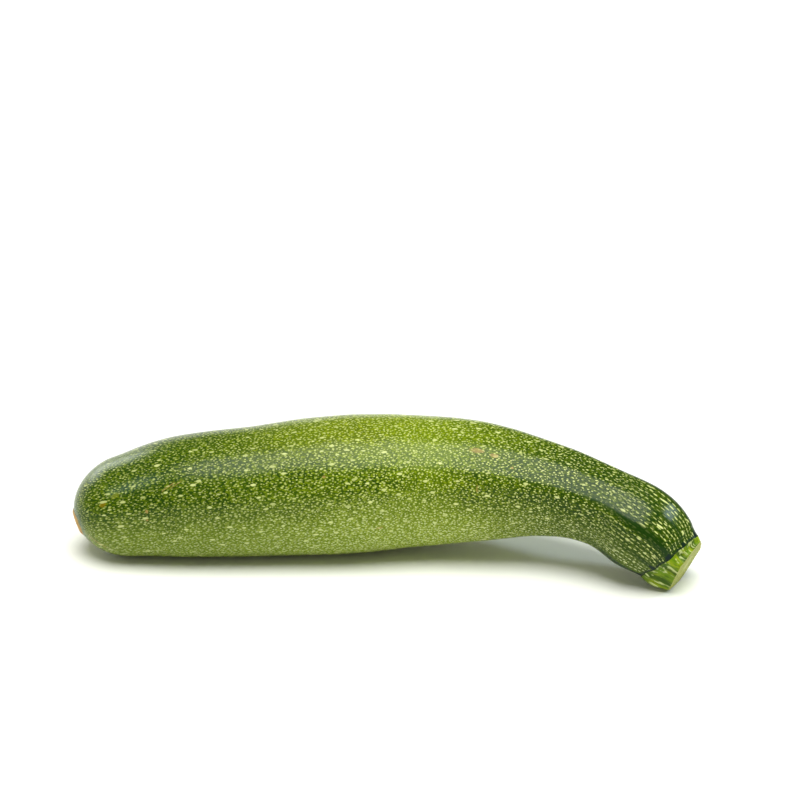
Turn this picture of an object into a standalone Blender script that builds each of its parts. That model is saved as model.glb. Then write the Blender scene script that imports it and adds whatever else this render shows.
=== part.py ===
"""A whole green courgette as picked: the fruit, and the stub of stem that it was cut from.

It lies on a flat strip along its belly. The neck rises clear of the table, bends towards -Y and
comes down again until the lowest lobe of the stem touches. Metres, +Z up. +X runs from the
blossom end to the stem, and the origin is on the table, under the middle of the whole outline.
"""

import bisect
import math

import bmesh
import bpy
from mathutils import Vector

MM = 0.001
TABLE = 0.0

# The axis, from the blossom end to just past the cut: x, y, height and radius of the flesh, in mm
AXIS_STATIONS = (
    (-107.5, -7.5, 13.0, 13.5),
    (-92.0, -8.5, 16.1, 16.6),
    (-72.5, -7.5, 19.3, 20.0),
    (-48.0, -6.5, 20.8, 21.5),
    (-20.0, -5.0, 22.5, 23.0),
    (8.0, -4.5, 23.7, 21.6),
    (31.0, -8.5, 24.9, 19.0),
    (51.0, -14.8, 24.8, 14.9),
    (66.0, -22.5, 23.0, 13.0),
    (78.0, -28.7, 18.0, 13.8),
    (87.0, -32.5, 10.9, 11.6),
    (94.5, -36.8, 6.6, 9.6),
)
AXIS_STEPS = 24

# Blossom end: a rounded dome, closed by a corky scar that stands a little proud
DOME_LENGTH = 16.0 * MM
DOME_SQUARENESS = 2.1
SCAR_RADIUS = 4.3 * MM
SCAR_EDGE = 0.9 * MM
SCAR_RISE = 0.5 * MM
SCAR_DIMPLE = 0.35 * MM

# Ridges: five along the whole fruit, and ten finer ones that rise only on the neck
RIDGES = 5
RIDGE_ANGLE = math.radians(25)
RIDGE_ON_BELLY = 0.010
RIDGE_ON_NECK = 0.035
FINE_RIDGE_ON_NECK = 0.012
NECK_STARTS = 100 * MM
NECK_FULL = 175 * MM

# Joint between fruit and stem: tipped, and scalloped in step with the ridges
JOINT_AT = 204.8 * MM
JOINT_TIP = 2.6 * MM
JOINT_SCALLOP = 0.4 * MM
JOINT_FINE_SCALLOP = 0.45 * MM
JOINT_REACH = 30 * MM
JOINT_GAP = 0.3 * MM
SHOULDER_DRAW_IN = 0.05
SHOULDER_LENGTH = 3.5 * MM

# Stub of the stem: five rounded lobes, cut square with a knife
CUT_AT = 210.5 * MM
CUT_TIP = 1.0 * MM
STEM_RADIUS = 9.9 * MM
STEM_BULGE = 0.5 * MM
STEM_LOBE = 0.050
STEM_FINE_LOBE = 0.022

# Fineness of the two meshes
SIDES = 60
DOME_RINGS = 14
BODY_RINGS = 34
SHOULDER_RINGS = 12
SHOULDER_SHARE = 24 * MM
STEM_RINGS = 7

SKIN_GREEN = (0.085, 0.190, 0.022, 1.0)
STEM_GREEN = (0.290, 0.430, 0.075, 1.0)


def eased(start, end, value):
    """0 before start, 1 after end, and a smooth rise between them."""
    share = min(max((value - start) / (end - start), 0.0), 1.0)
    return share * share * (3 - 2 * share)


def axis_samples():
    """Closely spaced points of one smooth curve through the stations, each (x, y, z, radius)."""
    rows = [Vector(row) * MM for row in AXIS_STATIONS]
    rows = [2 * rows[0] - rows[1]] + rows + [2 * rows[-1] - rows[-2]]
    samples = []
    for a, b, c, d in zip(rows, rows[1:], rows[2:], rows[3:]):
        for step in range(AXIS_STEPS):
            t = step / AXIS_STEPS
            bend = (2 * a - 5 * b + 4 * c - d) * t**2 + (3 * b - a - 3 * c + d) * t**3
            samples.append((2 * b + (c - a) * t + bend) / 2)
    samples.append(rows[-2])
    return samples


SAMPLES = axis_samples()
REACHED = [0.0]
for here, there in zip(SAMPLES, SAMPLES[1:]):
    REACHED.append(REACHED[-1] + (there.xyz - here.xyz).length)


def on_axis(distance):
    """Centre, direction and flesh radius of the axis at this distance from the blossom end."""
    index = min(max(bisect.bisect_right(REACHED, distance) - 1, 0), len(SAMPLES) - 2)
    span = REACHED[index + 1] - REACHED[index]
    here, there = SAMPLES[index], SAMPLES[index + 1]
    point = here + (there - here) * ((distance - REACHED[index]) / span)
    before = SAMPLES[max(index - 1, 0)].xyz
    after = SAMPLES[min(index + 2, len(SAMPLES) - 1)].xyz
    return point.xyz, (after - before).normalized(), point.w


def round_axis(distance, angle, radius):
    """A point at this angle and radius round the axis: angle 0 faces -Y, a quarter turn is the top."""
    centre, along, _ = on_axis(distance)
    side = along.cross(Vector((0, 0, 1))).normalized()
    top = side.cross(along)
    point = centre + radius * (math.cos(angle) * side + math.sin(angle) * top)
    point.z = max(point.z, TABLE)
    return point


def lobes(angle, main, fine):
    """The five-fold swell with a ten-fold one on it."""
    turn = RIDGES * (angle - RIDGE_ANGLE)
    return main * math.cos(turn) + fine * math.cos(2 * turn)


def joint_offset(angle):
    """How far the joint lies beyond its middle at this angle."""
    return JOINT_TIP * math.sin(angle) + lobes(angle, JOINT_SCALLOP, JOINT_FINE_SCALLOP)


def scar_rise(radius):
    """How far the blossom scar stands out of the dome, at this radius round the tip."""
    disc = 1 - eased(SCAR_RADIUS - SCAR_EDGE, SCAR_RADIUS + SCAR_EDGE, radius)
    return disc * SCAR_RISE - SCAR_DIMPLE * max(1 - radius / SCAR_RADIUS, 0)


def fruit_radius(distance, angle):
    """Radius of the fruit's skin round the axis, with its dome, ridges and shoulder."""
    radius = on_axis(distance)[2]
    if distance < DOME_LENGTH:
        left = max(1 - distance / DOME_LENGTH, 0)
        radius *= (1 - left**DOME_SQUARENESS) ** (1 / DOME_SQUARENESS)
    to_joint = (JOINT_AT + joint_offset(angle) - distance) / SHOULDER_LENGTH
    radius *= 1 - SHOULDER_DRAW_IN * math.exp(-(to_joint**2))
    neck = eased(NECK_STARTS, NECK_FULL, distance)
    ridge = RIDGE_ON_BELLY + (RIDGE_ON_NECK - RIDGE_ON_BELLY) * neck
    return radius * (1 + lobes(angle, ridge, FINE_RIDGE_ON_NECK * neck))


def fruit_point(distance, angle):
    """A point of the fruit's skin, where distance is measured before the joint's tip and scallops."""
    distance += joint_offset(angle) * eased(JOINT_AT - JOINT_REACH, JOINT_AT, distance)
    radius = fruit_radius(distance, angle)
    if distance < DOME_LENGTH:
        distance -= scar_rise(radius)
    return round_axis(distance, angle, radius)


def stem_point(share, angle):
    """A point of the stem's side, from share 0 at the joint to share 1 at the cut."""
    joint = JOINT_AT + joint_offset(angle)
    cut = CUT_AT - CUT_TIP * math.sin(angle)
    base = fruit_radius(joint, angle)
    rim = STEM_RADIUS * (1 + lobes(angle, STEM_LOBE, STEM_FINE_LOBE))
    radius = base + (rim - base) * eased(0, 1, share) + STEM_BULGE * math.sin(math.pi * share)
    joint += JOINT_GAP
    return round_axis(joint + (cut - joint) * share, angle, radius)


def fruit_distances():
    """Distances of the fruit's rings: close at the dome and the shoulder, wider on the belly."""
    shoulder = JOINT_AT - SHOULDER_SHARE
    dome_turns = [math.pi / 2 * ring / DOME_RINGS for ring in range(1, DOME_RINGS)]
    dome = [DOME_LENGTH * (1 - math.cos(turn)) for turn in dome_turns]
    body_step = (shoulder - DOME_LENGTH) / BODY_RINGS
    body = [DOME_LENGTH + body_step * ring for ring in range(BODY_RINGS)]
    shoulder_rings = [ring / SHOULDER_RINGS for ring in range(SHOULDER_RINGS + 1)]
    return dome + body + [shoulder + SHOULDER_SHARE * share for share in shoulder_rings]


def shaped_cylinder(name, rings, point_of, first_centre, last_centre):
    """A closed cylinder of this many rings, each of its vertices moved to point_of(ring, angle)."""
    bm = bmesh.new()
    bmesh.ops.create_cone(
        bm, cap_ends=True, cap_tris=True, segments=SIDES, radius1=1, radius2=1, depth=1
    )
    uprights = [e for e in bm.edges if abs(e.verts[0].co.z - e.verts[1].co.z) > 0.5]
    bmesh.ops.subdivide_edges(bm, edges=uprights, cuts=rings - 2)
    for vertex in bm.verts:
        ring = round((vertex.co.z + 0.5) * (rings - 1))
        if vertex.co.xy.length < 0.5:
            vertex.co = last_centre if ring else first_centre
        else:
            vertex.co = point_of(ring, math.atan2(vertex.co.y, vertex.co.x))
    bmesh.ops.recalc_face_normals(bm, faces=bm.faces)
    mesh = bpy.data.meshes.new(name)
    bm.to_mesh(mesh)
    bm.free()
    mesh.shade_smooth()
    mesh.set_sharp_from_angle(angle=math.radians(40))
    return bpy.data.objects.new(name, mesh)


def make_fruit():
    distances = fruit_distances()
    return shaped_cylinder(
        "fruit",
        len(distances),
        lambda ring, angle: fruit_point(distances[ring], angle),
        round_axis(-scar_rise(0), 0, 0),
        round_axis(JOINT_AT, 0, 0),
    )


def make_stem():
    return shaped_cylinder(
        "stem",
        STEM_RINGS,
        lambda ring, angle: stem_point(ring / (STEM_RINGS - 1), angle),
        round_axis(JOINT_AT + JOINT_GAP, 0, 0),
        round_axis(CUT_AT, 0, 0),
    )


def give_material(piece, name, colour, roughness):
    material = bpy.data.materials.new(name)
    material.use_nodes = True
    finish = material.node_tree.nodes["Principled BSDF"]
    finish.inputs["Base Color"].default_value = colour
    finish.inputs["Roughness"].default_value = roughness
    finish.inputs["Metallic"].default_value = 0.0
    piece.data.materials.append(material)


def centre_on_origin(pieces):
    """Moves the meshes so that the whole outline's middle, seen from above, is over the origin."""
    points = [vertex.co for piece in pieces for vertex in piece.data.vertices]
    shift = Vector((0, 0, 0))
    for axis in (0, 1):
        values = [point[axis] for point in points]
        shift[axis] = -(min(values) + max(values)) / 2
    for piece in pieces:
        for vertex in piece.data.vertices:
            vertex.co += shift


def main():
    for old in list(bpy.data.objects):
        bpy.data.objects.remove(old)
    fruit = make_fruit()
    stem = make_stem()
    give_material(fruit, "courgette_skin", SKIN_GREEN, 0.35)
    give_material(stem, "courgette_stem", STEM_GREEN, 0.55)
    centre_on_origin([fruit, stem])
    collection = bpy.data.collections.new("courgette")
    bpy.context.scene.collection.children.link(collection)
    for piece in (fruit, stem):
        collection.objects.link(piece)


main()
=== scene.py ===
"""A whole green courgette on a pale table: the speckled fruit, its stem stub, the table and the light."""

import math
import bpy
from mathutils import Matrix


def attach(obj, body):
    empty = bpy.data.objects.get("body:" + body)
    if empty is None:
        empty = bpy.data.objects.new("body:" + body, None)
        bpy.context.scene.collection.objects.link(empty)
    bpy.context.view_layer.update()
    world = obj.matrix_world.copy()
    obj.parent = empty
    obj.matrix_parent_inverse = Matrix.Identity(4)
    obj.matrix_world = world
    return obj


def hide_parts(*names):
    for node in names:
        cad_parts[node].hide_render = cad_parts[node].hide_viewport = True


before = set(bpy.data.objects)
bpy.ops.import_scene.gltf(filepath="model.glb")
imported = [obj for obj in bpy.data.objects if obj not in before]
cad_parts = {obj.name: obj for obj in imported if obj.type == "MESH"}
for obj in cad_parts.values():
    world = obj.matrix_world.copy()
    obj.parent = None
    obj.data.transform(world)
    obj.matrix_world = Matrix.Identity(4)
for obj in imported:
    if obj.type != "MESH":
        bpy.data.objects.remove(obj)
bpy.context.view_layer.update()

from types import SimpleNamespace

import bpy
from mathutils import Vector

MM = 0.001

# The fruit: one swollen body of flesh under a thin waxy rind, thick at the belly and drawn in to a
# bent neck. It grew in one piece round a core of seeds. Five ridges run along it and ten on its neck,
# and the flower left a corky scar at the blossom end.

# The axis, from the blossom end to just past the cut: x, y, height and radius of the flesh, in mm
AXIS_STATIONS = (
    (-107.5, -7.5, 13.0, 13.5),
    (-92.0, -8.5, 16.1, 16.6),
    (-72.5, -7.5, 19.3, 20.0),
    (-48.0, -6.5, 20.8, 21.5),
    (-20.0, -5.0, 22.5, 23.0),
    (8.0, -4.5, 23.7, 21.6),
    (31.0, -8.5, 24.9, 19.0),
    (51.0, -14.8, 24.8, 14.9),
    (66.0, -22.5, 23.0, 13.0),
    (78.0, -28.7, 18.0, 13.8),
    (87.0, -32.5, 10.9, 11.6),
    (94.5, -36.8, 6.6, 9.6),
)

# The steps of the curve from one station to the next, and the shift that centres the whole on the origin
AXIS_STEPS = 24
AXIS_SHIFT = Vector((5.69, 12.89, 0)) * MM

# The skin's sizes. A ridge, a lobe and the squeeze at the shoulder are shares of the radius
FRUIT_SIZES = {
    "Dome Length": 16.0 * MM,
    "Dome Squareness": 2.1,
    "Scar Radius": 4.2 * MM,
    "Scar Edge": 0.9 * MM,
    "Scar Rise": 0.5 * MM,
    "Scar Dimple": 0.35 * MM,
    "Scar Across": 4.3 * MM,
    "Scar Up": -1.1 * MM,
    "Ridge Angle": math.radians(25),
    "Ridge On Belly": 0.010,
    "Ridge On Neck": 0.035,
    "Fine Ridge On Neck": 0.012,
    "Neck Starts": 100 * MM,
    "Neck Full": 175 * MM,
    "Joint At": 204.8 * MM,
    "Joint Tip": 3.4 * MM,
    "Joint Turn": 0.5 * MM,
    "Joint Scallop": 0.15 * MM,
    "Joint Fine Scallop": 0.25 * MM,
    "Joint Reach": 30 * MM,
    "Shoulder Draw In": 0.05,
    "Shoulder Length": 3.5 * MM,
    "Crease Depth": 0.06 * MM,
    "Crease Width": 0.5 * MM,
    "Lump Height": 0.30 * MM,
    "Lump Length": 16 * MM,
    "Joint Smooth To": 2 * MM,
    "Joint Lumps From": 14 * MM,
    "Tip Smooth To": 1 * MM,
    "Tip Lumps From": 9 * MM,
}
FRUIT_COUNTS = {"Rings": 360, "Sides": 220}
RIDGES = 5

# Where the dome's rings end and the cap's start, as shares of them all, how much the body's rings crowd
# up towards the joint, and the distance under which points are joined at the seam and the poles
DOME_RINGS_END = 0.11
BODY_RINGS_END = 0.97
RING_CROWDING = 1.3
WELD = 0.01 * MM


class Flow:
    """A value in a node tree. A sum written with flows and numbers adds its maths nodes to the tree."""

    def __init__(self, tree, socket):
        self.tree = tree
        self.socket = socket

    def maths(self, operation, *others):
        """One maths node on this flow."""
        step = self.tree.nodes.new("ShaderNodeMath")
        step.operation = operation
        for socket, value in zip(step.inputs, (self,) + others):
            feed(self.tree, socket, value)
        return Flow(self.tree, step.outputs[0])

    def __add__(self, other):
        return self.maths("ADD", other)

    def __radd__(self, other):
        return self.maths("ADD", other)

    def __sub__(self, other):
        return self.maths("SUBTRACT", other)

    def __rsub__(self, other):
        return self.maths("MULTIPLY", -1).maths("ADD", other)

    def __mul__(self, other):
        return self.maths("MULTIPLY", other)

    def __rmul__(self, other):
        return self.maths("MULTIPLY", other)

    def __truediv__(self, other):
        return self.maths("DIVIDE", other)

    def __pow__(self, other):
        return self.maths("POWER", other)

    def at_least(self, other):
        return self.maths("MAXIMUM", other)

    def at_most(self, other):
        return self.maths("MINIMUM", other)


def feed(tree, socket, value):
    """Links a flow to a socket, or sets the socket to a plain value."""
    if isinstance(value, Flow):
        tree.links.new(value.socket, socket)
    else:
        socket.default_value = value


def place(tree, kind, inputs=None, output=0, **settings):
    """Adds one node with its settings and inputs, and returns the flow from one of its outputs."""
    step = tree.nodes.new(kind)
    for name, value in settings.items():
        setattr(step, name, value)
    for name, value in (inputs or {}).items():
        feed(tree, step.inputs[name], value)
    return Flow(tree, step.outputs[output])


def cosine(angle):
    """The cosine of a flow."""
    return angle.maths("COSINE")


def sine(angle):
    """The sine of a flow."""
    return angle.maths("SINE")


def eased(start, end, value):
    """0 up to start, 1 from end, and a smooth rise between them."""
    ends = {"Value": value, "From Min": start, "From Max": end}
    return place(value.tree, "ShaderNodeMapRange", ends, interpolation_type="SMOOTHSTEP")


def share_of(start, end, value):
    """0 up to start, 1 from end, and a straight rise between them."""
    return place(value.tree, "ShaderNodeMapRange", {"Value": value, "From Min": start, "From Max": end})


def bell(value, width):
    """1 where the value is 0, falling away on both sides over this width."""
    return ((value / width) ** 2 * -1).maths("EXPONENT")


def vector(tree, x, y, z):
    """A vector flow from three parts."""
    return place(tree, "ShaderNodeCombineXYZ", {"X": x, "Y": y, "Z": z})


def vectors(operation, first, second=None, scale=None, output=0):
    """One vector maths node."""
    step = first.tree.nodes.new("ShaderNodeVectorMath")
    step.operation = operation
    feed(first.tree, step.inputs[0], first)
    if second is not None:
        feed(first.tree, step.inputs[1], second)
    if scale is not None:
        feed(first.tree, step.inputs["Scale"], scale)
    return Flow(first.tree, step.outputs[output])


def parts_of(value):
    """The x, y and z flows of a vector flow."""
    split = value.tree.nodes.new("ShaderNodeSeparateXYZ")
    feed(value.tree, split.inputs[0], value)
    return [Flow(value.tree, socket) for socket in split.outputs]


def axis_object():
    """The axis as a line of close points, each with the radius of the flesh there.

    It is a smooth curve through all stations, with one more station guessed at each end.
    """
    rows = [Vector(row) * MM for row in AXIS_STATIONS]
    rows = [2 * rows[0] - rows[1]] + rows + [2 * rows[-1] - rows[-2]]
    points = []
    for a, b, c, d in zip(rows, rows[1:], rows[2:], rows[3:]):
        for step in range(AXIS_STEPS):
            t = step / AXIS_STEPS
            bend = (2 * a - 5 * b + 4 * c - d) * t**2 + (3 * b - a - 3 * c + d) * t**3
            points.append((2 * b + (c - a) * t + bend) / 2)
    points.append(rows[-2])
    mesh = bpy.data.meshes.new("axis")
    mesh.from_pydata([point.xyz for point in points], [(i, i + 1) for i in range(len(points) - 1)], [])
    flesh = mesh.attributes.new("flesh", "FLOAT", "POINT")
    for item, point in zip(flesh.data, points):
        item.value = point.w
    axis = bpy.data.objects.new("axis", mesh)
    bpy.context.scene.collection.objects.link(axis)
    return axis


def start_tree(name, sizes, counts, materials):
    """A new geometry tree with a named input for each of these, and the flows that come from them."""
    tree = bpy.data.node_groups.new(name, "GeometryNodeTree")
    tree.interface.new_socket("Axis", in_out="INPUT", socket_type="NodeSocketGeometry")
    kinds = ((sizes, "NodeSocketFloat"), (counts, "NodeSocketInt"), (materials, "NodeSocketMaterial"))
    for labels, kind in kinds:
        for label in labels:
            tree.interface.new_socket(label, in_out="INPUT", socket_type=kind)
    tree.interface.new_socket("Surface", in_out="OUTPUT", socket_type="NodeSocketGeometry")
    inlet = tree.nodes.new("NodeGroupInput")
    return tree, {socket.name: Flow(tree, socket) for socket in inlet.outputs if socket.name}


def sample_axis(given, distance):
    """The node that reads the axis at this distance from the blossom end."""
    tree = distance.tree
    line = place(tree, "GeometryNodeMeshToCurve", {"Mesh": given["Axis"]})
    flesh = place(tree, "GeometryNodeInputNamedAttribute", {"Name": "flesh"}, data_type="FLOAT")
    reader = tree.nodes.new("GeometryNodeSampleCurve")
    reader.mode = "LENGTH"
    reader.data_type = "FLOAT"
    feed(tree, reader.inputs["Curves"], line)
    feed(tree, reader.inputs["Value"], flesh)
    feed(tree, reader.inputs["Length"], distance)
    return {name: Flow(tree, reader.outputs[name]) for name in ("Value", "Position", "Tangent")}


def round_axis(given, distance, angle, radius):
    """A point at this angle and radius round the axis: angle 0 faces -Y, a quarter turn is the top."""
    here = sample_axis(given, distance.at_least(0))
    along = vectors("NORMALIZE", here["Tangent"])
    side = vectors("NORMALIZE", vectors("CROSS_PRODUCT", along, (0, 0, 1)))
    top = vectors("CROSS_PRODUCT", side, along)
    centre = vectors("ADD", here["Position"], vectors("SCALE", along, scale=distance.at_most(0)))
    across = vectors("SCALE", side, scale=radius * cosine(angle))
    upward = vectors("SCALE", top, scale=radius * sine(angle))
    point = vectors("ADD", vectors("ADD", centre, across), upward)
    x, y, z = parts_of(point)
    return vector(point.tree, x, y, z.at_least(0))


def lobes(given, angle, main, fine):
    """The five-fold swell with a ten-fold one on it."""
    turn = (angle - given["Ridge Angle"]) * RIDGES
    return main * cosine(turn) + fine * cosine(turn * 2)


def joint_offset(given, angle):
    """How far the joint lies beyond its middle at this angle."""
    scallops = lobes(given, angle, given["Joint Scallop"], given["Joint Fine Scallop"])
    return given["Joint Tip"] * sine(angle) - given["Joint Turn"] * cosine(angle) + scallops


def fruit_radius(given, distance, angle):
    """Radius of the skin round the axis, with its dome, ridges and shoulder."""
    left = (1 - distance / given["Dome Length"]).at_least(0)
    dome = (1 - left ** given["Dome Squareness"]) ** (given["Dome Squareness"] ** -1)
    to_joint = given["Joint At"] + joint_offset(given, angle) - distance
    shoulder = 1 - given["Shoulder Draw In"] * bell(to_joint, given["Shoulder Length"])
    neck = eased(given["Neck Starts"], given["Neck Full"], distance)
    ridge = given["Ridge On Belly"] + (given["Ridge On Neck"] - given["Ridge On Belly"]) * neck
    swell = 1 + lobes(given, angle, ridge, given["Fine Ridge On Neck"] * neck)
    return sample_axis(given, distance)["Value"] * dome * shoulder * swell


def surface_grid(tree, given):
    """A square grid of rings and sides, and its two shares: along the rings, and the angle round."""
    sheet = tree.nodes.new("GeometryNodeMeshGrid")
    feed(tree, sheet.inputs["Size X"], 1.0)
    feed(tree, sheet.inputs["Size Y"], 1.0)
    feed(tree, sheet.inputs["Vertices X"], given["Rings"])
    feed(tree, sheet.inputs["Vertices Y"], given["Sides"])
    x, y, _ = parts_of(place(tree, "GeometryNodeInputPosition"))
    return Flow(tree, sheet.outputs["Mesh"]), x + 0.5, (y + 0.5) * math.tau


def store(surface, name, value, kind):
    """Keeps a field on the points of the surface as a named attribute."""
    inputs = {"Geometry": surface, "Name": name, "Value": value}
    return place(surface.tree, "GeometryNodeStoreNamedAttribute", inputs, data_type=kind, domain="POINT")


def close_up(surface):
    """Joins the seam and the poles, and smooths the shading."""
    inputs = {"Geometry": surface, "Distance": WELD}
    merged = place(surface.tree, "GeometryNodeMergeByDistance", inputs)
    return place(surface.tree, "GeometryNodeSetShadeSmooth", {"Geometry": merged})


def finish_tree(surface):
    """Sends the surface out of its tree."""
    outlet = surface.tree.nodes.new("NodeGroupOutput")
    feed(surface.tree, outlet.inputs["Surface"], surface)


def grow(name, tree, values):
    """Runs the tree on the axis with these values, and returns the result as a plain mesh object."""
    axis = axis_object()
    modifier = axis.modifiers.new(name, "NODES")
    modifier.node_group = tree
    for item in tree.interface.items_tree:
        if item.in_out == "INPUT" and item.name in values:
            modifier[item.identifier] = values[item.name]
    depsgraph = bpy.context.evaluated_depsgraph_get()
    mesh = bpy.data.meshes.new_from_object(axis.evaluated_get(depsgraph), depsgraph=depsgraph)
    axis.modifiers.remove(modifier)
    bpy.data.objects.remove(axis)
    mesh.name = name
    # The bare axis brings an empty slot, which no face of the surface uses
    if mesh.materials[0] is None:
        mesh.materials.pop(index=0)
    for vertex in mesh.vertices:
        vertex.co += AXIS_SHIFT
    piece = bpy.data.objects.new(name, mesh)
    bpy.context.scene.collection.objects.link(piece)
    return piece


def fruit_tree():
    """The skin of the whole fruit: dome, belly, neck and shoulder, closed by a cap under the stem."""
    tree, given = start_tree("fruit_surface", FRUIT_SIZES, FRUIT_COUNTS, ("Skin",))
    surface, share, angle = surface_grid(tree, given)
    dome_share = share_of(0.0, DOME_RINGS_END, share)
    body_share = share_of(DOME_RINGS_END, BODY_RINGS_END, share)
    cap_share = share_of(BODY_RINGS_END, 1.0, share)
    dome = given["Dome Length"] * (1 - cosine(dome_share * (math.pi / 2)))
    body = (given["Joint At"] - given["Dome Length"]) * (1 - (1 - body_share) ** RING_CROWDING)
    plain = dome + body
    offset = joint_offset(given, angle)
    near_joint = eased(given["Joint At"] - given["Joint Reach"], given["Joint At"], plain)
    distance = plain + offset * near_joint

    radius = fruit_radius(given, distance, angle)
    to_joint = given["Joint At"] + offset - distance
    radius = radius - given["Crease Depth"] * bell(to_joint, given["Crease Width"])
    straight = vector(tree, distance, radius * cosine(angle), radius * sine(angle))
    spread = vectors("SCALE", straight, scale=given["Lump Length"] ** -1)
    lumps = place(tree, "ShaderNodeTexNoise", {"Vector": spread, "Scale": 1.0, "Detail": 1.5})
    off_joint = eased(given["Joint Smooth To"], given["Joint Lumps From"], to_joint)
    off_tip = eased(given["Tip Smooth To"], given["Tip Lumps From"], distance)
    radius = radius + given["Lump Height"] * 2 * (lumps - 0.5) * off_joint * off_tip

    on_dome = distance.maths("LESS_THAN", given["Dome Length"])
    edge = given["Scar Edge"]
    across = radius * cosine(angle) - given["Scar Across"]
    upward = radius * sine(angle) - given["Scar Up"]
    off_scar = (across ** 2 + upward ** 2) ** 0.5
    disc = 1 - eased(given["Scar Radius"] - edge, given["Scar Radius"] + edge, off_scar)
    dimple = given["Scar Dimple"] * (1 - off_scar / given["Scar Radius"]).at_least(0)
    scar_rise = disc * given["Scar Rise"] - dimple
    reach = distance - scar_rise * on_dome - offset * cap_share
    point = round_axis(given, reach, angle, radius * (1 - cap_share))

    surface = store(surface, "straight", straight, "FLOAT_VECTOR")
    surface = place(tree, "GeometryNodeSetPosition", {"Geometry": surface, "Position": point})
    surface = close_up(surface)
    surface = place(tree, "GeometryNodeRealizeInstances", {"Geometry": surface})
    surface = place(tree, "GeometryNodeSetMaterial", {"Geometry": surface, "Material": given["Skin"]})
    finish_tree(surface)
    return tree


# The rind's colours: dark green ground, yellow-green fill, cream flecks and dark smooth stripes. The top's
# paler fill is painted light, the pale ones underneath are partly painted light from the table, and the grey
# film is a painted reflection
GROUND_DARK = (0.013, 0.042, 0.001)
GROUND_MID = (0.042, 0.086, 0.001)
GROUND_SUNNY = (0.100, 0.160, 0.001)
# The pale colours underneath are partly the rind's own and partly painted light bounced from the table
GROUND_PALE = (0.180, 0.255, 0.008)
FILL = (0.200, 0.275, 0.005)
# A paler fill that paints light on the top of the belly
FILL_LIT_TOP = (0.380, 0.440, 0.020)
FILL_PALE = (0.370, 0.445, 0.075)
FLECK = (0.600, 0.650, 0.200)
FLECK_PALE = (0.680, 0.740, 0.350)
SPOT = (0.640, 0.680, 0.280)
STRIPE = (0.008, 0.034, 0.001)
JOINT_DARK = (0.004, 0.014, 0.014)
CORK = (0.700, 0.465, 0.200)
CORK_DARK = (0.420, 0.225, 0.070)
HALO = (0.120, 0.175, 0.120)
# A painted reflection of the bright wall behind, laid on as a grey film
PAINTED_REFLECTION_FILM = (0.225, 0.275, 0.175)
TAN = (0.420, 0.270, 0.080)
YELLOW = (0.170, 0.200, 0.003)
AMBER = (0.300, 0.190, 0.006)

# Where the rind changes and where painted light lies on it, as start and end or as middle and reach, in mm
# from the blossom end
NECK_ZONE = (118, 172)
SHELTERED_ZONE = (30, 125)
HIGH_PALE_ZONE = (90, 150)
SUNNY_MIDDLE = 122.0
SUNNY_REACH = 38.0
# Where the painted light on the top of the belly is strongest, and how far it reaches
TOP_LIGHT_MIDDLE = 92.0
TOP_LIGHT_REACH = 36.0
MAIN_STRIPE_ZONE = (160, 192)
FINE_STRIPE_ZONE = (185, 198)
ROWS_ZONE = (176, 192)
TIP_ZONE = (6.0, 9.0)
# The stretch over which the painted reflection film fades out
PAINTED_REFLECTION_ZONE = (12, 40)

# Marks on the rind: distance, angle in degrees, half length, half width, slant, strength and colour
MARKS = (
    (8.5, -26.0, 4.0, 0.35, -0.65, 0.5, TAN),
    (13.5, 29.0, 1.1, 0.8, 0.2, 0.5, AMBER),
    (17.5, 37.0, 1.6, 1.1, 0.4, 0.65, YELLOW),
    (26.1, 15.0, 0.5, 0.7, 0.0, 0.7, TAN),
    (25.6, 6.0, 0.4, 0.4, 0.0, 0.7, TAN),
    (34.0, 35.0, 3.0, 0.30, 0.55, 0.4, TAN),
    (36.5, 36.0, 2.4, 0.25, 0.55, 0.35, TAN),
    (83.7, 32.0, 0.8, 0.5, 0.0, 0.6, TAN),
    (100.8, -16.0, 1.6, 0.4, 0.2, 0.5, TAN),
    (136.5, 56.0, 2.6, 1.0, 0.0, 0.55, TAN),
    (142.1, 53.0, 1.8, 0.8, 0.0, 0.55, TAN),
    (137.9, 18.0, 0.3, 1.6, 0.3, 0.5, TAN),
    (148.7, 43.0, 0.5, 0.5, 0.0, 0.7, TAN),
)

# The colour mix node's sockets: its share, its two colours and its result
MIX_SHARE = 0
MIX_UNDER = 6
MIX_OVER = 7
MIX_RESULT = 2


def blend(share, under, over):
    """Two colours mixed: the one under where the share is 0, the one over where it is 1."""
    step = share.tree.nodes.new("ShaderNodeMix")
    step.data_type = "RGBA"
    for socket, value in ((MIX_SHARE, share), (MIX_UNDER, under), (MIX_OVER, over)):
        feed(share.tree, step.inputs[socket], value if isinstance(value, Flow) else value + (1.0,))
    return Flow(share.tree, step.outputs[MIX_RESULT])


def noise(at, size, detail=2.0):
    """Soft noise, with features about this many millimetres across."""
    return place(at.tree, "ShaderNodeTexNoise", {"Vector": at, "Scale": 1 / size, "Detail": detail})


def patches_group():
    """The node group of soft patches, which every rind and cut here shows: noise past a soft threshold."""
    group = bpy.data.node_groups.new("soft_patches", "ShaderNodeTree")
    group.interface.new_socket("Place", in_out="INPUT", socket_type="NodeSocketVector")
    for label in ("Scale", "Detail", "Low", "High"):
        group.interface.new_socket(label, in_out="INPUT", socket_type="NodeSocketFloat")
    group.interface.new_socket("Share", in_out="OUTPUT", socket_type="NodeSocketFloat")
    inlet = group.nodes.new("NodeGroupInput")
    given = {socket.name: Flow(group, socket) for socket in inlet.outputs if socket.name}
    cloud_inputs = {"Vector": given["Place"], "Scale": given["Scale"], "Detail": given["Detail"]}
    cloud = place(group, "ShaderNodeTexNoise", cloud_inputs)
    outlet = group.nodes.new("NodeGroupOutput")
    feed(group, outlet.inputs["Share"], eased(given["Low"], given["High"], cloud))
    return group


SOFT_PATCHES = patches_group()


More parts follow.
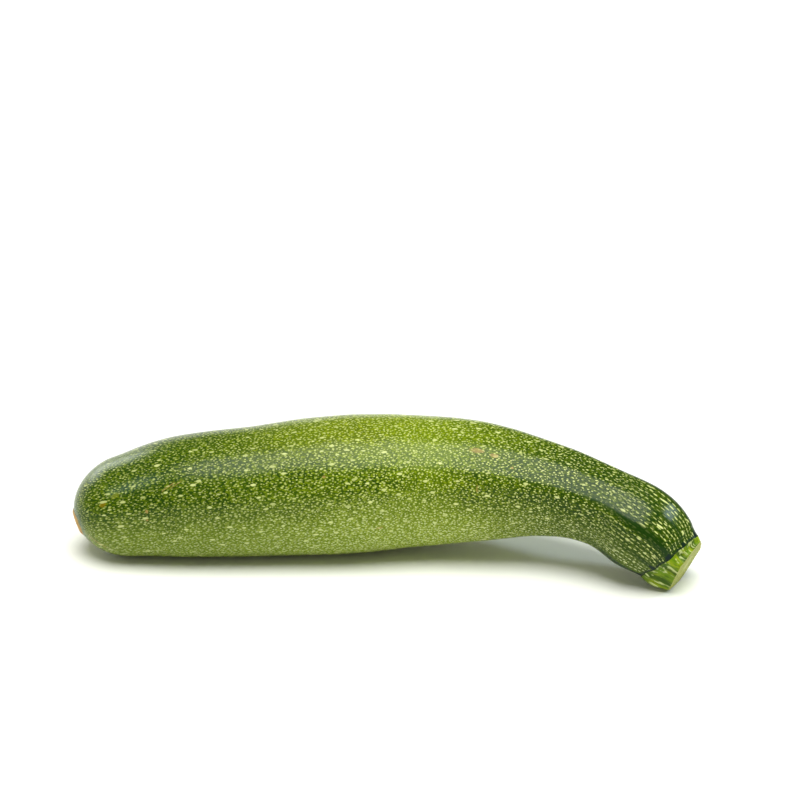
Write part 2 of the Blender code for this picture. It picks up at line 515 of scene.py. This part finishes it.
def patches(at, size, low, high, detail=2.0):
    """Soft patches this many millimetres across: 0 where the noise is under low, 1 where it is over high."""
    inputs = {"Place": at, "Scale": 1 / size, "Detail": detail, "Low": low, "High": high}
    return place(at.tree, "ShaderNodeGroup", inputs, node_tree=SOFT_PATCHES)


def pulled(along, across, upward, share):
    """A place shrunk along the piece by this share, so that a pattern on it comes out long."""
    return vector(along.tree, along * share, across, upward)


def new_material(name):
    """A material with its shader, and the flow of its place on the straightened piece, in mm."""
    material = bpy.data.materials.new(name)
    material.use_nodes = True
    tree = material.node_tree
    shader = tree.nodes["Principled BSDF"]
    place_node = tree.nodes.new("ShaderNodeAttribute")
    place_node.attribute_name = "straight"
    at = vectors("SCALE", Flow(tree, place_node.outputs["Vector"]), scale=1 / MM)
    return material, tree, shader, at


def bump(height):
    """The normal of a relief whose height is in millimetres."""
    inputs = {"Height": height, "Strength": 1.0, "Distance": MM}
    return place(height.tree, "ShaderNodeBump", inputs)


# The flat maps of the skin, in mm: the arc and the radius of the dome, the edge between the blossom
# end's map and the two halves, how far apart the maps lie, and where and how fast the neck is stretched
DOME_ARC = 15.3
DOME_RADIUS = 14.5
CHART_EDGE = 16.0
HALVES_APART = 400.0
TIP_APART = 300.0
LEAST_ARC_RADIUS = 12.5
LEAST_GIRTH = 0.2
STRETCH_STARTS = 130.0
STRETCH_GROWTH = 0.0008
FRONT = math.radians(25)

# The cells of the flecks, in mm, their turn and scatter, and how far the maps squeeze them
FILL_CELL = 0.62
DOT_CELL = 0.80
SPOT_CELL = 2.70
CELLS_TURNED = math.radians(27)
CELL_SCATTER = 0.95
FLECK_SQUEEZE = 0.60
SPOT_SQUEEZE = 0.45


def skin_place(at):
    """Where a point of the skin lies, in mm, and how far it belongs to each part of the fruit."""
    here = SimpleNamespace(at=at, tree=at.tree)
    here.along, here.across, here.upward = parts_of(at)
    here.angle = here.upward.maths("ARCTAN2", here.across)
    here.girth = (here.across ** 2 + here.upward ** 2) ** 0.5
    here.height = here.upward / here.girth.at_least(LEAST_GIRTH)
    here.neck = eased(*NECK_ZONE, here.along)
    here.sheltered = 1 - eased(*SHELTERED_ZONE, here.along)
    # The paler underside: partly the rind's own pale side, partly painted light bounced up from the table
    pale_line = 0.16 + (1 - eased(*HIGH_PALE_ZONE, here.along)) * 0.14
    wander = (noise(at, 14) - 0.5) * 0.4
    here.under = 1 - eased(-0.60, 0.12, here.height - pale_line + wander)
    return here


def skin_charts(here, ripple, squeeze):
    """Three flat maps that cover the skin, each with the test that tells which points it keeps.

    Two unroll the front and the back half of the body, squeezed along it by this share so that the
    flecks come out long, and the third spreads out the blossom end.
    """
    dome_length = FRUIT_SIZES["Dome Length"] / MM
    left = (1 - here.along / dome_length).at_least(0)
    dome = (here.girth / DOME_RADIUS).maths("ARCTAN2", left) * DOME_ARC
    run = dome + (here.along - dome_length).at_least(0)
    past = (here.along - STRETCH_STARTS).at_least(0)
    squeezed = (run - past * past * STRETCH_GROWTH) * squeeze
    arc_radius = here.girth.at_least(LEAST_ARC_RADIUS)
    quarter = arc_radius * (math.pi / 2)
    forward = here.across * math.cos(FRONT) + here.upward * math.sin(FRONT)
    sideways = here.upward * math.cos(FRONT) - here.across * math.sin(FRONT)
    charts = []
    for turned, offset in ((1, 0.0), (-1, -HALVES_APART)):
        arc = (sideways * turned).maths("ARCTAN2", forward * turned) * arc_radius
        chart = vectors("ADD", vector(here.tree, squeezed, arc + offset, 0.0), ripple)
        charts.append((chart, half_test(squeeze, offset, quarter)))
    spread = run / here.girth.at_least(LEAST_GIRTH)
    tip = vector(here.tree, here.across * spread - TIP_APART, here.upward * spread, 0.0)
    charts.append((vectors("ADD", tip, ripple), near_tip))
    return charts


def half_test(squeeze, offset, quarter):
    """The test for an unrolled half: a point lies in its own quarter turns, past the blossom end."""
    def keeps(x, y):
        past_tip = (x / squeeze).maths("GREATER_THAN", CHART_EDGE)
        return past_tip * (y - offset).maths("ABSOLUTE").maths("LESS_THAN", quarter)
    return keeps


def near_tip(x, y):
    """The test for the blossom end: a point lies within the map's edge."""
    return ((x + TIP_APART) ** 2 + y ** 2).maths("LESS_THAN", CHART_EDGE ** 2)


def turned_flat(chart, angle):
    """A flat map turned in its own plane."""
    inputs = {"Vector": chart, "Angle": angle}
    return place(chart.tree, "ShaderNodeVectorRotate", inputs, rotation_type="Z_AXIS")


def flecks(charts, cell, smallest, largest, edge, dimmest):
    """A mask of round flecks, one in each cell, each with its own size and brightness.

    The radii and the soft edge are shares of the cell's size. The cells are turned off the fruit's own
    length, so that no rows show.
    """
    mask = None
    for chart, keeps in charts:
        step = chart.tree.nodes.new("ShaderNodeTexVoronoi")
        step.voronoi_dimensions = "2D"
        feed(chart.tree, step.inputs["Vector"], turned_flat(chart, CELLS_TURNED))
        feed(chart.tree, step.inputs["Scale"], 1 / cell)
        feed(chart.tree, step.inputs["Randomness"], CELL_SCATTER)
        off = Flow(chart.tree, step.outputs["Distance"])
        own_size, own_glow, _ = parts_of(Flow(chart.tree, step.outputs["Color"]))
        middle = turned_flat(Flow(chart.tree, step.outputs["Position"]), -CELLS_TURNED)
        x, y, _ = parts_of(middle)
        radius = own_size * (largest - smallest) + smallest
        fleck = (1 - eased(radius, radius + edge, off)) * (own_glow * (1 - dimmest) + dimmest)
        fleck = fleck * keeps(x, y)
        mask = fleck if mask is None else mask.at_least(fleck)
    return mask


def skin_flecks(here):
    """The masks of the fill between the flecks, of the dots and of the larger spots."""
    ripple_inputs = {"Vector": here.at, "Scale": 1.0, "Detail": 1.0}
    ripple = place(here.tree, "ShaderNodeTexNoise", ripple_inputs, output=1)
    ripple = vectors("SCALE", vectors("SUBTRACT", ripple, (0.5, 0.5, 0.5)), scale=0.3)
    charts = skin_charts(here, ripple, FLECK_SQUEEZE)
    long_charts = skin_charts(here, ripple, SPOT_SQUEEZE)
    smallest_dot = 0.10 - here.neck * 0.02
    largest_dot = 0.24 - here.neck * 0.03 + here.under * 0.03
    largest_spot = 0.13 - here.neck * 0.02
    fill = flecks(charts, FILL_CELL, 0.18, 0.50, 0.12, 0.30)
    dots = flecks(charts, DOT_CELL, smallest_dot, largest_dot, 0.10, 0.55)
    spots = flecks(long_charts, SPOT_CELL, -0.07, largest_spot, 0.065, 0.60)
    return fill, dots, spots


def skin_ground(here):
    """The colour of the rind between the flecks."""
    mottle = patches(pulled(here.along, here.across, here.upward, 0.5), 9, 0.30, 0.70, 3.0)
    ground = blend(mottle, GROUND_DARK, GROUND_MID)
    sun_patches = patches(pulled(here.along, here.across, here.upward, 0.4), 14, 0.25, 0.65)
    sunny = bell(here.along - SUNNY_MIDDLE, SUNNY_REACH) * sun_patches
    ground = blend(sunny * 0.75, ground, GROUND_SUNNY)
    # Paler underneath, partly the rind's own colour and partly painted light from the table
    ground = blend(here.under * 0.75, ground, GROUND_PALE)
    return blend(here.sheltered * 0.7 * (1 - here.under * 0.5), ground, GROUND_DARK)


# The pattern on the neck: the twist of its stripes in radians to the mm, and its rows of dashes. A dash
# has its own stretch of a row in mm, a place that wanders in it, and a width and length as shares of it
STRIPE_TWIST = 0.006
ROWS_TO_A_RIDGE = 11
DASH_STRETCH = 1.5
ROW_SHIFT = 7.0
WANDER_ACROSS = 0.35
WANDER_ALONG = 0.25
DASH_WIDTH = 0.14
DASH_LENGTH = 0.42


def rows_of_dashes(along, turns):
    """The mask of short dashes in rows along the piece: one row for each whole turn of this count."""
    tree = along.tree
    row = turns.maths("FLOOR")
    own_start = place(tree, "ShaderNodeTexWhiteNoise", {"W": row}, noise_dimensions="1D")
    run = along / DASH_STRETCH + own_start * ROW_SHIFT
    cell = vector(tree, run.maths("FLOOR"), row, 0.0)
    own = place(tree, "ShaderNodeTexWhiteNoise", {"Vector": cell}, output=1, noise_dimensions="2D")
    shift, size, glow = parts_of(own)
    across = (turns - row - 0.5 + (shift - 0.5) * WANDER_ACROSS) / DASH_WIDTH
    ahead = (run - run.maths("FLOOR") - 0.5 + (size - 0.5) * WANDER_ALONG) / DASH_LENGTH
    reach = (across ** 2 + ahead ** 2) ** 0.5
    return (1 - eased(size * 0.6 + 0.25, size * 0.6 + 0.7, reach)) * (glow * 0.4 + 0.6)


def neck_pattern(here):
    """The masks of the dark stripes, of the stretch with rows, of the gaps between them and of dashes."""
    twist = (FRUIT_SIZES["Joint At"] / MM - here.along) * STRIPE_TWIST
    turn = (here.angle - FRUIT_SIZES["Ridge Angle"] - twist) * RIDGES
    main_stripe = eased(0.80, 0.97, cosine(turn)) * eased(*MAIN_STRIPE_ZONE, here.along)
    fine_stripe = eased(0.70, 0.95, cosine(turn * 2)) * eased(*FINE_STRIPE_ZONE, here.along)
    stripe = main_stripe.at_least(fine_stripe * 0.9)
    in_rows = eased(*ROWS_ZONE, here.along)
    row_gaps = (cosine(turn * ROWS_TO_A_RIDGE) * 0.5 + 0.5) * in_rows
    dashes = rows_of_dashes(here.along, turn * ROWS_TO_A_RIDGE / math.tau)
    return stripe, in_rows, row_gaps, dashes


def joint_masks(here, stripe):
    """The masks of the dark line at the joint and of the deep green that leads up to it."""
    joint = (joint_offset(FRUIT_SIZES, here.angle) + FRUIT_SIZES["Joint At"]) / MM
    to_joint = joint - here.along
    ragged = (noise(here.at, 1.0) - 0.5) * 2.0
    line = (1 - eased(0.3, 1.4, to_joint + ragged * 0.7 - stripe * 1.6)) * stripe.at_least(0.75)
    deep = 1 - eased(1.0, 8.0, to_joint + ragged * 2)
    return line, deep


def mark(here, rough, place_of):
    """The mask of one scratch, dot or blotch on the rind."""
    distance, turn, half_length, half_width, slant, strength = place_of
    run = here.along - distance
    across = (here.angle - math.radians(turn)) * here.girth - run * slant
    reach = ((run / half_length) ** 2 + (across / half_width) ** 2) ** 0.5 + rough
    return (1 - eased(0.6, 1.1, reach)) * strength


def marked(here, coloured):
    """The colour with the scratches, dots and blotches on it."""
    rough = (noise(here.at, 0.8) - 0.5) * 0.9
    for *place_of, colour in MARKS:
        coloured = blend(mark(here, rough, place_of), coloured, colour)
    return coloured


# The scar, in mm: its soft edge, the grey halo round it, its dark rim and centre. The spokes in its
# cork are noise on a ring, stretched outwards
SCAR_FADE = 0.8
HALO_REACH = 3.8
DARK_RIM = (3.2, 4.4)
DARK_CENTRE = (0.4, 1.3)
SPOKES_ROUND = 2.2
SPOKES_OUT = 0.35


def painted_reflection_mask(here):
    """A painted reflection of the bright wall, laid as a grey film on the back of the blossom end, with
    uneven edges and thin wisps.
    """
    drift = (noise(here.at, 7.0, 3.0) - 0.5) * 9.0 + (noise(here.at, 1.4) - 0.5) * 2.5
    behind = 1 - eased(2.2, 6.0, here.across + drift * 0.5)
    behind = behind * eased(-13.0, -3.0, here.across + drift)
    above = eased(1.0, 7.0, here.upward + drift * 0.4)
    film = behind * above * (1 - eased(*PAINTED_REFLECTION_ZONE, here.along + drift))
    wisps = patches(pulled(here.along, here.across, here.upward, 0.12), 0.5, 0.35, 0.75)
    return film * (0.62 - wisps * 0.3)


def blossom_end(here, coloured):
    """The colour with the painted reflection film, the halo and the corky scar on it, and the scar's mask.
    """
    scar_across = here.across - FRUIT_SIZES["Scar Across"] / MM
    scar_up = here.upward - FRUIT_SIZES["Scar Up"] / MM
    scar_radius = FRUIT_SIZES["Scar Radius"] / MM
    off_scar = (scar_across ** 2 + scar_up ** 2) ** 0.5 + (noise(here.at, 1.5) - 0.5) * 1.2
    at_tip = 1 - eased(*TIP_ZONE, here.along)
    edge = scar_radius + SCAR_FADE
    scar = (1 - eased(scar_radius, edge, off_scar)) * at_tip
    halo = (1 - eased(edge, scar_radius + HALO_REACH, off_scar)) * at_tip
    spoke = scar_up.maths("ARCTAN2", scar_across)
    spoke_x = cosine(spoke) * SPOKES_ROUND
    spoke_y = sine(spoke) * SPOKES_ROUND
    spokes = patches(vector(here.tree, spoke_x, spoke_y, off_scar * SPOKES_OUT), 1.0, 0.42, 0.68, 3.0)
    worn = spokes.at_least(patches(here.at, 0.8, 0.40, 0.70, 3.0) * 0.7)
    worn = worn.at_least(eased(*DARK_RIM, off_scar) * 0.8).at_least(1 - eased(*DARK_CENTRE, off_scar))
    # A grey film painted where the bright wall would be reflected, at the back of the blossom end
    coloured = blend(painted_reflection_mask(here), coloured, PAINTED_REFLECTION_FILM)
    coloured = blend(halo * 0.6, coloured, HALO)
    coloured = blend(scar, coloured, blend(worn, CORK, CORK_DARK))
    return coloured, scar


def skin_material():
    """The waxy rind: ground, fill and flecks with painted light on the top and underneath, the neck's
    pattern, the marks and the blossom end with a painted reflection.
    """
    material, tree, shader, at = new_material("speckled_skin")
    here = skin_place(at)
    fill, dots, spots = skin_flecks(here)
    stripe, in_rows, row_gaps, dashes = neck_pattern(here)
    joint_line, deep = joint_masks(here, stripe)

    clear = 1 - stripe * 0.92
    fill = fill * clear * (1 - deep * 0.5) * (1 - joint_line) * (1 - here.neck * 0.62)
    fill = fill * (1 - here.sheltered * 0.50) * (1 - row_gaps * 0.6)
    dots = (dots * (1 - in_rows * 0.85)).at_least(dashes * in_rows * 0.9)
    bright = (dots * (1 - here.sheltered * 0.45)).at_least(spots * (1 - here.sheltered * 0.15))
    bright = bright * clear * (1 - joint_line * 0.85)

    dark = stripe.at_least(deep * 0.7).at_least(here.neck * 0.72)
    ground = blend(dark, skin_ground(here), STRIPE)
    # Painted light: the top of the belly gets a paler, fuller fill, as if lit more from above
    painted_top_light = eased(0.55, 0.95, here.height) * bell(here.along - TOP_LIGHT_MIDDLE, TOP_LIGHT_REACH)
    # Underneath, the fill is paler: partly the rind's own colour, partly painted light bounced from the
    # table
    fill_colour = blend(here.under, blend(painted_top_light * 0.5, FILL, FILL_LIT_TOP), FILL_PALE)
    coloured = blend(fill.at_least(painted_top_light * 0.25), ground, fill_colour)
    # Paler flecks underneath, partly painted light from the table, and on the neck
    pale = (here.under * 0.9).at_least(here.neck * 0.20)
    bright_colour = blend(spots, blend(pale, FLECK, FLECK_PALE), SPOT)
    coloured = blend(bright, coloured, bright_colour)
    coloured = blend(joint_line * 0.9, coloured, JOINT_DARK)
    coloured, scar = blossom_end(here, marked(here, coloured))
    feed(tree, shader.inputs["Base Color"], coloured)

    relief = noise(at, 0.5, 3.0) * 0.02 + bright * 0.02 + noise(at, 3.0) * 0.05
    feed(tree, shader.inputs["Normal"], bump(relief))
    feed(tree, shader.inputs["Roughness"], 0.20 - bright * 0.03 + scar * 0.40)
    shader.inputs["IOR"].default_value = 1.45
    shader.inputs["Specular IOR Level"].default_value = 0.15
    return material


skin = skin_material()
fruit = grow("speckled_fruit", fruit_tree(), {**FRUIT_SIZES, **FRUIT_COUNTS, "Skin": skin})
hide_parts("fruit")
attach(fruit, "root")

# The stem stub: the tough five-lobed stem that the fruit hung from, grown fast to its shoulder and cut
# off with a knife. Its side is ribbed yellow-green rind, and the cut shows pale fibres inside.

# The stub's sizes. Its lobes and grooves are shares of the radius
STEM_SIZES = {
    "Cut At": 210.7 * MM,
    "Cut Tip": 0.2 * MM,
    "Cut Turn": 0.3 * MM,
    "Stem Radius": 9.2 * MM,
    "Stem Bulge": 0.1 * MM,
    "Stem Belly": 0.7 * MM,
    "Stem Lobe": 0.050,
    "Stem Fine Lobe": 0.022,
    "Groove": 0.045,
    "Rib Height": 0.45 * MM,
    "Rim Round": 0.30 * MM,
    "Fibre Height": 0.16 * MM,
}
STEM_COUNTS = {"Rings": 150, "Sides": 220}

# Where the cap and the side end, as shares of the rings, where the side's rim starts to round and the
# face's fibres to rise, and how far onto the face a point lies to be part of the cut
CAP_RINGS_END = 0.06
SIDE_RINGS_END = 0.60
RIM_STARTS = 0.90
FIBRES_FULL = 0.1
CUT_LIMIT = 0.25

# The ribs are noise on a ring, stretched along the stub. The ten fine grooves are a share of the five
RIBS_ROUND = 9
RIBS_ALONG = 1.5
RIB_SCALE = 0.9
FIBRE_SCALE = 0.9
FINE_GROOVES = 0.8


def stem_tree():
    """The stub: a cap inside the joint, the lobed side, a rounded rim and the face of the cut."""
    sizes = {**FRUIT_SIZES, **STEM_SIZES}
    tree, given = start_tree("stem_surface", sizes, STEM_COUNTS, ("Rind", "Cut"))
    surface, share, angle = surface_grid(tree, given)
    base_share = share_of(0.0, CAP_RINGS_END, share)
    side_share = share_of(CAP_RINGS_END, SIDE_RINGS_END, share)
    face_share = share_of(SIDE_RINGS_END, 1.0, share)
    outward = base_share * (1 - face_share)
    joint = given["Joint At"] + joint_offset(given, angle) * outward
    lean = given["Cut Turn"] * cosine(angle) - given["Cut Tip"] * sine(angle)
    cut = given["Cut At"] + lean * outward
    base = fruit_radius(given, joint, angle)
    rim = given["Stem Radius"] * (1 + lobes(given, angle, given["Stem Lobe"], given["Stem Fine Lobe"]))
    middle = sine(side_share * math.pi)
    grooves = lobes(given, angle, given["Groove"], given["Groove"] * FINE_GROOVES)
    highest = given["Groove"] * (1 + FINE_GROOVES)
    radius = base + (rim - base) * eased(0, 1, side_share)
    radius = radius * (1 + (grooves - highest) * middle) + given["Stem Bulge"] * middle
    ring = vector(tree, side_share * RIBS_ALONG, cosine(angle) * RIBS_ROUND, sine(angle) * RIBS_ROUND)
    ribs = place(tree, "ShaderNodeTexNoise", {"Vector": ring, "Scale": RIB_SCALE, "Detail": 2.0})
    radius = radius + given["Rib Height"] * (ribs - 0.5) * middle
    radius = radius + given["Stem Belly"] * (0.5 - sine(angle) * 0.5) * middle
    rounding = share_of(RIM_STARTS, 1.0, side_share)
    radius = radius - given["Rim Round"] * (1 - (1 - rounding ** 2).at_least(0) ** 0.5)
    side = joint + (cut - joint) * side_share
    flat = radius * (1 - face_share)
    straight = vector(tree, side - given["Joint At"], flat * cosine(angle), flat * sine(angle))
    spread = vectors("SCALE", straight, scale=1 / MM)
    fibres = place(tree, "ShaderNodeTexNoise", {"Vector": spread, "Scale": FIBRE_SCALE, "Detail": 3.0})
    cut_relief = given["Fibre Height"] * 2 * (fibres - 0.5) * eased(0.0, FIBRES_FULL, face_share)
    point = round_axis(given, side + cut_relief, angle, radius * outward)

    surface = store(surface, "straight", straight, "FLOAT_VECTOR")
    surface = store(surface, "on_face", face_share.maths("GREATER_THAN", 0.0), "FLOAT")
    surface = place(tree, "GeometryNodeSetPosition", {"Geometry": surface, "Position": point})
    surface = close_up(surface)
    surface = place(tree, "GeometryNodeRealizeInstances", {"Geometry": surface})
    surface = place(tree, "GeometryNodeSetMaterial", {"Geometry": surface, "Material": given["Rind"]})
    on_face = place(tree, "GeometryNodeInputNamedAttribute", {"Name": "on_face"}, data_type="FLOAT")
    on_cut = on_face.maths("GREATER_THAN", CUT_LIMIT)
    cut_inputs = {"Geometry": surface, "Material": given["Cut"], "Selection": on_cut}
    surface = place(tree, "GeometryNodeSetMaterial", cut_inputs)
    finish_tree(surface)
    return tree


# The stub's colours: green and yellow rind with pale streaks, and a paler cut with green bundles. The dark
# green also paints shade at the stub's foot
RIND_GREEN = (0.115, 0.215, 0.002)
RIND_YELLOW = (0.255, 0.335, 0.004)
RIND_DARK = (0.030, 0.075, 0.001)
STREAK = (0.600, 0.660, 0.280)
CUT_PALE = (0.420, 0.430, 0.120)
CUT_GREEN = (0.260, 0.290, 0.035)
CUT_EDGE = (0.420, 0.340, 0.060)
CUT_BUNDLE = (0.130, 0.180, 0.020)
CUT_PITH = (0.560, 0.580, 0.260)


# The cut, in mm: the ring of bundles and its width, the pith in the middle and the width of the edge
BUNDLES_AT = 6.6
BUNDLES_WIDE = 0.7
PITH_ZONE = (1.0, 4.2)
CUT_EDGE_WIDE = 0.9


def rind_material():
    """The stub's ribbed rind: green and yellow, dark in its grooves, with fine threads, pale streaks and
    painted shade at its foot.
    """
    material, tree, shader, at = new_material("stem_rind")
    along, across, upward = parts_of(at)
    turn = (upward.maths("ARCTAN2", across) - FRUIT_SIZES["Ridge Angle"]) * RIDGES
    groove = eased(0.1, 0.9, cosine(turn * 2) * -1)
    long_place = pulled(along, across, upward, 0.14)
    streaks = patches(long_place, 1.0, 0.55, 0.67, 1.5)
    ground = blend(patches(long_place, 1.8, 0.35, 0.65), RIND_GREEN, RIND_YELLOW)
    ground = blend(groove * 0.80, ground, RIND_DARK)
    threads = patches(pulled(along, across, upward, 0.15), 0.8, 0.45, 0.65)
    ground = blend(threads * 0.50, ground, RIND_DARK)
    # Painted shade at the foot of the stub, where it meets the fruit's shoulder
    painted_foot_shade = 1 - eased(-1.5, 1.2, along + (noise(at, 1.5) - 0.5) * 2.0)
    ground = blend(painted_foot_shade * 0.45, ground, RIND_DARK)
    feed(tree, shader.inputs["Base Color"], blend(streaks * 0.85, ground, STREAK))
    feed(tree, shader.inputs["Normal"], bump(streaks * 0.10 + noise(at, 0.8) * 0.1))
    shader.inputs["Roughness"].default_value = 0.42
    shader.inputs["Specular IOR Level"].default_value = 0.15
    return material


def cut_material():
    """The cut face: pale fibres, a ring of green bundles, a paler pith and a drier edge."""
    material, tree, shader, at = new_material("stem_cut")
    along, across, upward = parts_of(at)
    girth = (across ** 2 + upward ** 2) ** 0.5
    turn = (upward.maths("ARCTAN2", across) - FRUIT_SIZES["Ridge Angle"]) * RIDGES
    ground = blend(patches(at, 0.7, 0.35, 0.65, 3.0), CUT_GREEN, CUT_PALE)
    wander = (noise(at, 2.5) - 0.5) * 1.2
    bundles = bell(girth + wander - BUNDLES_AT, BUNDLES_WIDE) * eased(-0.2, 0.8, cosine(turn * 2 + wander))
    ground = blend(bundles * 0.55, ground, CUT_BUNDLE)
    pith = 1 - eased(*PITH_ZONE, girth + wander)
    ground = blend(pith * 0.45, ground, CUT_PITH)
    rim_at = STEM_SIZES["Stem Radius"] / MM
    rim = eased(rim_at - CUT_EDGE_WIDE, rim_at, girth + (noise(at, 1.5) - 0.5) * 0.8)
    feed(tree, shader.inputs["Base Color"], blend(rim * 0.6, ground, CUT_EDGE))
    feed(tree, shader.inputs["Normal"], bump(noise(at, 0.7, 3.0) * 0.15))
    shader.inputs["Roughness"].default_value = 0.55
    shader.inputs["Specular IOR Level"].default_value = 0.15
    return material


stem_materials = {"Rind": rind_material(), "Cut": cut_material()}
stem_values = {**FRUIT_SIZES, **STEM_SIZES, **STEM_COUNTS, **stem_materials}
stem = grow("stem_stub", stem_tree(), stem_values)
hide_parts("stem")
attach(stem, "root")

# The table: a photographer's table with a matt white top, wide enough to run out of the picture on
# every side. The fruit lies loose on it.

TABLE_HALF = 3.0
TABLE_DROP = 0.05 * MM
TABLE_WHITE = (0.90, 0.90, 0.90, 1)

sides = ((-1, -1), (1, -1), (1, 1), (-1, 1))
corners = [(x * TABLE_HALF, y * TABLE_HALF, -TABLE_DROP) for x, y in sides]
table_mesh = bpy.data.meshes.new("table")
table_mesh.from_pydata(corners, [], [(0, 1, 2, 3)])
table = bpy.data.objects.new("table", table_mesh)
bpy.context.scene.collection.objects.link(table)
table_paint = bpy.data.materials.new("white_table")
table_paint.use_nodes = True
paint = table_paint.node_tree.nodes["Principled BSDF"]
paint.inputs["Base Color"].default_value = TABLE_WHITE
paint.inputs["Roughness"].default_value = 0.9
paint.inputs["Specular IOR Level"].default_value = 0.0
table_mesh.materials.append(table_paint)

# Light and camera: a broad soft lamp overhead and a window at the right. A window at the left and a card
# behind are seen only as shine. The room is dim, apart from a white wall behind that is higher at the
# left. The camera looks down on the fruit from the front, through a long lens.

ROOM_GLOW = (0.32, 0.32, 0.24)
WALL_GLOW = (1.5, 1.5, 1.42)
BACKDROP = (1.0, 1.0, 1.0)

# The wall, by direction: how fast its foot draws back with height and towards the sides, the soft edges
# of its foot and its top, and how fast the top falls towards the right
WALL_LEAN = 0.55
WALL_CURVE = 0.22
WALL_FOOT = (-0.03, 0.05)
WALL_TOP = (0.30, 0.36)
WALL_SLOPE = 0.45


def towards(azimuth, elevation):
    """The direction to something seen at this azimuth, from -Y towards +X, and elevation."""
    a, e = math.radians(azimuth), math.radians(elevation)
    return Vector((math.sin(a) * math.cos(e), -math.cos(a) * math.cos(e), math.sin(e)))


def soft_lamp(name, source, power, spread, tint, only_shine=False):
    """A far lamp at this azimuth and elevation, this many degrees wide, which may be seen as shine alone."""
    lamp = bpy.data.lights.new(name, "SUN")
    lamp.energy = power
    lamp.angle = math.radians(spread)
    lamp.color = tint
    stand = bpy.data.objects.new(name, lamp)
    stand.rotation_mode = "QUATERNION"
    stand.rotation_quaternion = towards(*source).to_track_quat("Z", "Y")
    stand.visible_diffuse = not only_shine
    bpy.context.scene.collection.objects.link(stand)


soft_lamp("overhead_lamp", (10, 77), 3.45, 42, (0.965, 0.98, 0.93))
soft_lamp("left_window", (-64, 50), 0.50, 18, (0.74, 0.92, 1.0), only_shine=True)
soft_lamp("right_window", (95, 38), 0.90, 14, (0.75, 0.90, 1.0))
soft_lamp("back_card", (-134, 28), 1.20, 30, (0.96, 1.0, 1.0), only_shine=True)

room = bpy.data.worlds.new("room")
room.use_nodes = True
room_tree = room.node_tree
facing = place(room_tree, "ShaderNodeTexCoord", output=0)
sideways, depth, height = parts_of(facing)
beyond = depth - height * WALL_LEAN - sideways.maths("ABSOLUTE") * WALL_CURVE
wall = eased(*WALL_FOOT, beyond) * (1 - eased(*WALL_TOP, height + sideways * WALL_SLOPE))
glow = blend(wall, ROOM_GLOW, WALL_GLOW)
seen = place(room_tree, "ShaderNodeLightPath", output=0)
feed(room_tree, room_tree.nodes["Background"].inputs["Color"], blend(seen, glow, BACKDROP))
bpy.context.scene.world = room

AIM = Vector((5.7, 12.9, 20.0)) * MM
CAMERA_ELEVATION = 25
CAMERA_DISTANCE = 740.74 * MM
FRAME_SHIFT = 0.10625
lens = bpy.data.cameras.new("camera")
lens.lens = 100
lens.sensor_width = 36
lens.shift_y = FRAME_SHIFT
lens.clip_start = 0.01
camera = bpy.data.objects.new("camera", lens)
camera.location = AIM + towards(0, CAMERA_ELEVATION) * CAMERA_DISTANCE
camera.rotation_mode = "QUATERNION"
camera.rotation_quaternion = towards(0, CAMERA_ELEVATION).to_track_quat("Z", "Y")
bpy.context.scene.collection.objects.link(camera)
bpy.context.scene.camera = camera
bpy.context.scene.view_settings.view_transform = "Standard"
